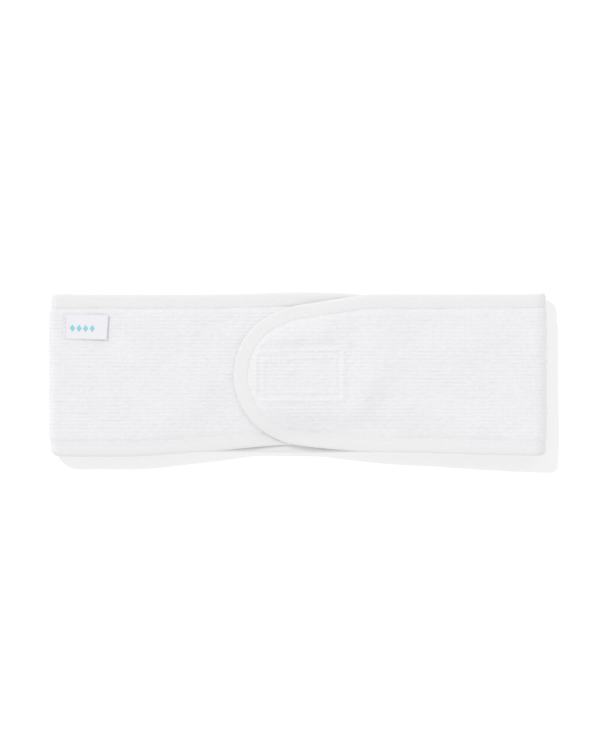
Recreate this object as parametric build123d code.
from build123d import *
import os

# A terry headband with a hook-and-loop closure, closed into a loop and laid flat on a table.
# X runs along the band, Y across it, Z up from the table. The origin is the middle of the flat
# loop, on the table. The strap is two plies of terry with a woven tape folded over every edge.
# It lies in three layers: the back at the bottom, the left arm on it, and the right arm on top,
# whose rounded tongue carries the hook tape that grips the loop tape on the left arm.

# Driving dimensions, in millimetres.
BAND_WIDTH = 80.0
FLAT_LENGTH = 245.0
PLY = 1.6
TAPE = 0.4
TAPE_WIDTH = 7.0
TAPE_EDGE = 0.6
LAYER_GAP = 1.6
CLOSURE_GAP = 1.0
FOLD_SLIT = 0.1
TONGUE_RADIUS = 33.5
TONGUE_CENTRE_X = 2.0
TONGUE_FLARE_ANGLE = 10.0
TONGUE_HINGE_X = 40.0
PLAIN_END_X = 46.0
HOOK_LENGTH = 40.0
HOOK_WIDTH = 20.0
HOOK_THICK = 0.55
HOOK_X = 1.0
LOOP_LENGTH = 58.0
LOOP_WIDTH = 24.0
LOOP_THICK = 0.3
LOOP_X = 8.0
LABEL_LENGTH = 22.0
LABEL_WIDTH = 12.0
LABEL_THICK = 0.8
LABEL_LEFT_X = -115.0
LABEL_Y = 24.0
THREAD = 0.5
SEAM_INSET = 1.0

# Levels and places that follow from them.
STRAP = 2 * PLY
HALF_WIDTH = BAND_WIDTH / 2
HALF_LENGTH = FLAT_LENGTH / 2
LEFT_TOP = 2 * STRAP + LAYER_GAP
RIGHT_BOTTOM = LEFT_TOP + CLOSURE_GAP
RIGHT_TOP = RIGHT_BOTTOM + STRAP
LEFT_RADIUS = LEFT_TOP / 2
RIGHT_RADIUS = RIGHT_TOP / 2
LEFT_BEND_X = -HALF_LENGTH + LEFT_RADIUS
RIGHT_BEND_X = HALF_LENGTH - RIGHT_RADIUS
BEYOND = HALF_LENGTH + 10.0
TALL = RIGHT_TOP + 10.0


def xz_face(*edges):
    """A face in the XZ plane from edges drawn with X right and Z up."""
    return make_face(Plane.XZ * Curve(list(edges)))


def fold_slit(side, radius):
    """The slit at a fold's middle height, where the moving half leaves the still half."""
    centre = Pos(side * (HALF_LENGTH - radius / 2), radius)
    return Plane.XZ * centre * Rectangle(2 * radius, FOLD_SLIT)


def back_profile(outer, inner):
    """Section of the back between two depths under its outer face, with the lower half of each fold."""
    left_out = LEFT_RADIUS - outer
    left_in = LEFT_RADIUS - inner
    right_out = RIGHT_RADIUS - outer
    right_in = RIGHT_RADIUS - inner
    face = xz_face(
        CenterArc((LEFT_BEND_X, LEFT_RADIUS), left_out, 180, 90),
        Line((LEFT_BEND_X, outer), (RIGHT_BEND_X, outer)),
        CenterArc((RIGHT_BEND_X, RIGHT_RADIUS), right_out, 270, 90),
        Line((RIGHT_BEND_X + right_out, RIGHT_RADIUS), (RIGHT_BEND_X + right_in, RIGHT_RADIUS)),
        CenterArc((RIGHT_BEND_X, RIGHT_RADIUS), right_in, 270, 90),
        Line((RIGHT_BEND_X, inner), (LEFT_BEND_X, inner)),
        CenterArc((LEFT_BEND_X, LEFT_RADIUS), left_in, 180, 90),
        Line((LEFT_BEND_X - left_in, LEFT_RADIUS), (LEFT_BEND_X - left_out, LEFT_RADIUS)),
    )
    return face - fold_slit(-1, LEFT_RADIUS) - fold_slit(1, RIGHT_RADIUS)


def arm_profile(side, outer, inner, end_x):
    """Section of an arm between two depths under its outer face, with the upper half of its fold."""
    radius = RIGHT_RADIUS if side > 0 else LEFT_RADIUS
    bend_x = side * (HALF_LENGTH - radius)
    start = 0 if side > 0 else 90
    out_r = radius - outer
    in_r = radius - inner
    face = xz_face(
        CenterArc((bend_x, radius), out_r, start, 90),
        Line((bend_x, 2 * radius - outer), (end_x, 2 * radius - outer)),
        Line((end_x, 2 * radius - outer), (end_x, 2 * radius - inner)),
        Line((end_x, 2 * radius - inner), (bend_x, 2 * radius - inner)),
        CenterArc((bend_x, radius), in_r, start, 90),
        Line((bend_x + side * in_r, radius), (bend_x + side * out_r, radius)),
    )
    return face - fold_slit(side, radius)


def across(profile):
    """A section swept across more than the band's width."""
    return extrude(profile, amount=BAND_WIDTH, both=True)


def column(plan):
    """A plan outline as a tall prism, to cut the swept sections with."""
    return extrude(plan, amount=TALL, both=True)


def straight_plan(inset=0.0):
    """Plan of the back: straight edges, and open past both folds."""
    return Rectangle(2 * BEYOND, BAND_WIDTH - 2 * inset)


def right_plan(inset=0.0):
    """Plan of the right arm with its tongue: a round tip that flares to the band's full width."""
    flare = TONGUE_FLARE_ANGLE
    tip = CenterArc((TONGUE_CENTRE_X, 0), TONGUE_RADIUS, 90 + flare, 180 - 2 * flare)
    top_full = (60.0, 39.7)
    low_full = (60.0, -37.8)
    low_end = (BEYOND, 0.5 - HALF_WIDTH)
    plan = make_face(
        Curve([
            tip,
            TangentArc(tip @ 0, top_full, tangent=-(tip % 0)),
            Line(top_full, (BEYOND, HALF_WIDTH)),
            Line((BEYOND, HALF_WIDTH), low_end),
            Line(low_end, low_full),
            TangentArc(tip @ 1, low_full, tangent=tip % 1),
        ])
    )
    if inset > 0:
        plan = offset(plan, amount=-inset)
        plan = plan + Pos(BEYOND - inset, 0) * Rectangle(2 * inset, BAND_WIDTH - 2 * inset - 2.0)
    return plan


def left_plan(inset=0.0):
    """Plan of the left arm: full width at the fold, narrower towards its rounded plain end."""
    shoulder_x = PLAIN_END_X - 14.0
    outline = [
        (-BEYOND, HALF_WIDTH),
        (shoulder_x, 38.4),
        (shoulder_x, -32.5),
        (-5.0, -34.1),
        (-72.0, -39.5),
        (-BEYOND, -HALF_WIDTH),
    ]
    plan = make_face(
        Curve([
            Line(outline[0], outline[1]),
            ThreePointArc(outline[1], (PLAIN_END_X, 3.0), outline[2]),
            Line(outline[2], outline[3]),
            Line(outline[3], outline[4]),
            Line(outline[4], outline[5]),
            Line(outline[5], outline[0]),
        ])
    )
    if inset > 0:
        plan = offset(plan, amount=-inset)
        plan = plan + Pos(inset - BEYOND, 0) * Rectangle(2 * inset, BAND_WIDTH - 2 * inset - 2.0)
    return plan


def strap_pieces(section, plan_of, keep=None):
    """Outer ply, lining ply and folded edge tape of one strap.

    section(outer, inner) gives the side profile of a layer and plan_of(inset) the outline.
    The plies are thinner inside the tape, so that the taped edge is as thick as the strap.
    """
    full = column(plan_of(0))
    under_tape = column(plan_of(TAPE_EDGE))
    field = column(plan_of(TAPE_WIDTH))
    if keep is not None:
        full = full & keep
        under_tape = under_tape & keep
        field = field & keep
    whole = across(section(0, STRAP)) & full
    outer = (across(section(TAPE, PLY)) & under_tape) + (across(section(0, PLY)) & field)
    lining = (across(section(PLY, STRAP - TAPE)) & under_tape) + (
        across(section(PLY, STRAP)) & field
    )
    tape = whole - (across(section(TAPE, STRAP - TAPE)) & under_tape) - field
    return outer, lining, tape


def edge_thread(section, plan_of, keep=None):
    """The seam that sews the tape down: one row of thread just inside the tape's inner edge."""
    edge = TAPE_WIDTH + THREAD / 2
    inside = column(plan_of(edge)) - column(plan_of(edge + THREAD))
    row = across(section(0, THREAD)) & inside
    return row & keep if keep is not None else row


def half(solid, sign):
    """The part of a solid on one side of the band's centre line."""
    return solid & Pos(0, sign * BAND_WIDTH / 2, 0) * Box(4 * BEYOND, BAND_WIDTH, 4 * TALL)


def seam_around(length, width, x, low_z, high_z):
    """The seam round a closure tape, as a thin upright wall through whatever it sews together."""
    long = length - 2 * SEAM_INSET
    wide = width - 2 * SEAM_INSET
    outline = Rectangle(long, wide) - Rectangle(long - 2 * THREAD, wide - 2 * THREAD)
    return Pos(x, 0, low_z) * extrude(outline, amount=high_z - low_z)


def write(name, shape):
    """Writes one node; the shape may be one solid or a group of separate solids."""
    solids = shape.solids()
    node = solids[0] if len(solids) == 1 else Compound(children=list(solids))
    node.label = name
    export_step(node, "parts/" + name + ".step")


def build():
    os.makedirs("parts", exist_ok=True)
    reach = 2 * BEYOND
    right_side = Pos(TONGUE_HINGE_X + reach / 2 + FOLD_SLIT, 0, 0) * Box(reach, reach, 4 * TALL)
    tongue_side = Pos(TONGUE_HINGE_X - reach / 2, 0, 0) * Box(reach, reach, 4 * TALL)

    def right_section(outer, inner):
        return arm_profile(1, outer, inner, -HALF_LENGTH)

    def left_section(outer, inner):
        return arm_profile(-1, outer, inner, HALF_LENGTH)

    # The back of the loop.
    outer, lining, tape = strap_pieces(back_profile, straight_plan)
    thread = edge_thread(back_profile, straight_plan)
    write("back_outer_terry", outer)
    write("back_lining_terry", lining)
    write("back_top_tape", half(tape, 1))
    write("back_bottom_tape", half(tape, -1))
    write("back_tape_thread", thread)

    # The right arm, from its fold to the line where the tongue peels.
    outer, lining, tape = strap_pieces(right_section, right_plan, right_side)
    thread = edge_thread(right_section, right_plan, right_side)
    write("right_outer_terry", outer)
    write("right_lining_terry", lining)
    write("right_top_tape", half(tape, 1))
    write("right_bottom_tape", half(tape, -1))
    write("right_tape_thread", thread)

    # The tongue with its hook tape.
    outer, lining, tape = strap_pieces(right_section, right_plan, tongue_side)
    thread = edge_thread(right_section, right_plan, tongue_side)
    hook_seam = seam_around(
        HOOK_LENGTH, HOOK_WIDTH, HOOK_X, RIGHT_BOTTOM - HOOK_THICK, RIGHT_TOP
    )
    hook_tape = Pos(HOOK_X, 0, RIGHT_BOTTOM - HOOK_THICK / 2) * Box(
        HOOK_LENGTH, HOOK_WIDTH, HOOK_THICK
    )
    write("tongue_outer_terry", outer)
    write("tongue_lining_terry", lining)
    write("tongue_tape", tape)
    write("tongue_tape_thread", thread)
    write("hook_tape", hook_tape)
    write("hook_tape_thread", hook_seam)

    # The left arm with its loop tape.
    outer, lining, tape = strap_pieces(left_section, left_plan)
    thread = edge_thread(left_section, left_plan)
    loop_seam = seam_around(
        LOOP_LENGTH, LOOP_WIDTH, LOOP_X, LEFT_TOP - STRAP, LEFT_TOP + LOOP_THICK
    )
    loop_tape = Pos(LOOP_X, 0, LEFT_TOP + LOOP_THICK / 2) * Box(
        LOOP_LENGTH, LOOP_WIDTH, LOOP_THICK
    )
    label_seam = Pos(LABEL_LEFT_X - THREAD / 2 - 0.2, LABEL_Y, LEFT_TOP - PLY / 2) * Box(
        THREAD, LABEL_WIDTH, PLY
    )
    write("left_outer_terry", outer)
    write("left_lining_terry", lining)
    write("left_tape", tape)
    write("left_tape_thread", thread)
    write("loop_tape", loop_tape)
    write("loop_tape_thread", loop_seam)
    write("label_thread", label_seam)

    # The folded woven label, sewn down along its left edge.
    label = Pos(LABEL_LEFT_X + LABEL_LENGTH / 2, LABEL_Y, LEFT_TOP + 0.1 + LABEL_THICK / 2) * Box(
        LABEL_LENGTH, LABEL_WIDTH, LABEL_THICK
    )
    write("label", label)


build()
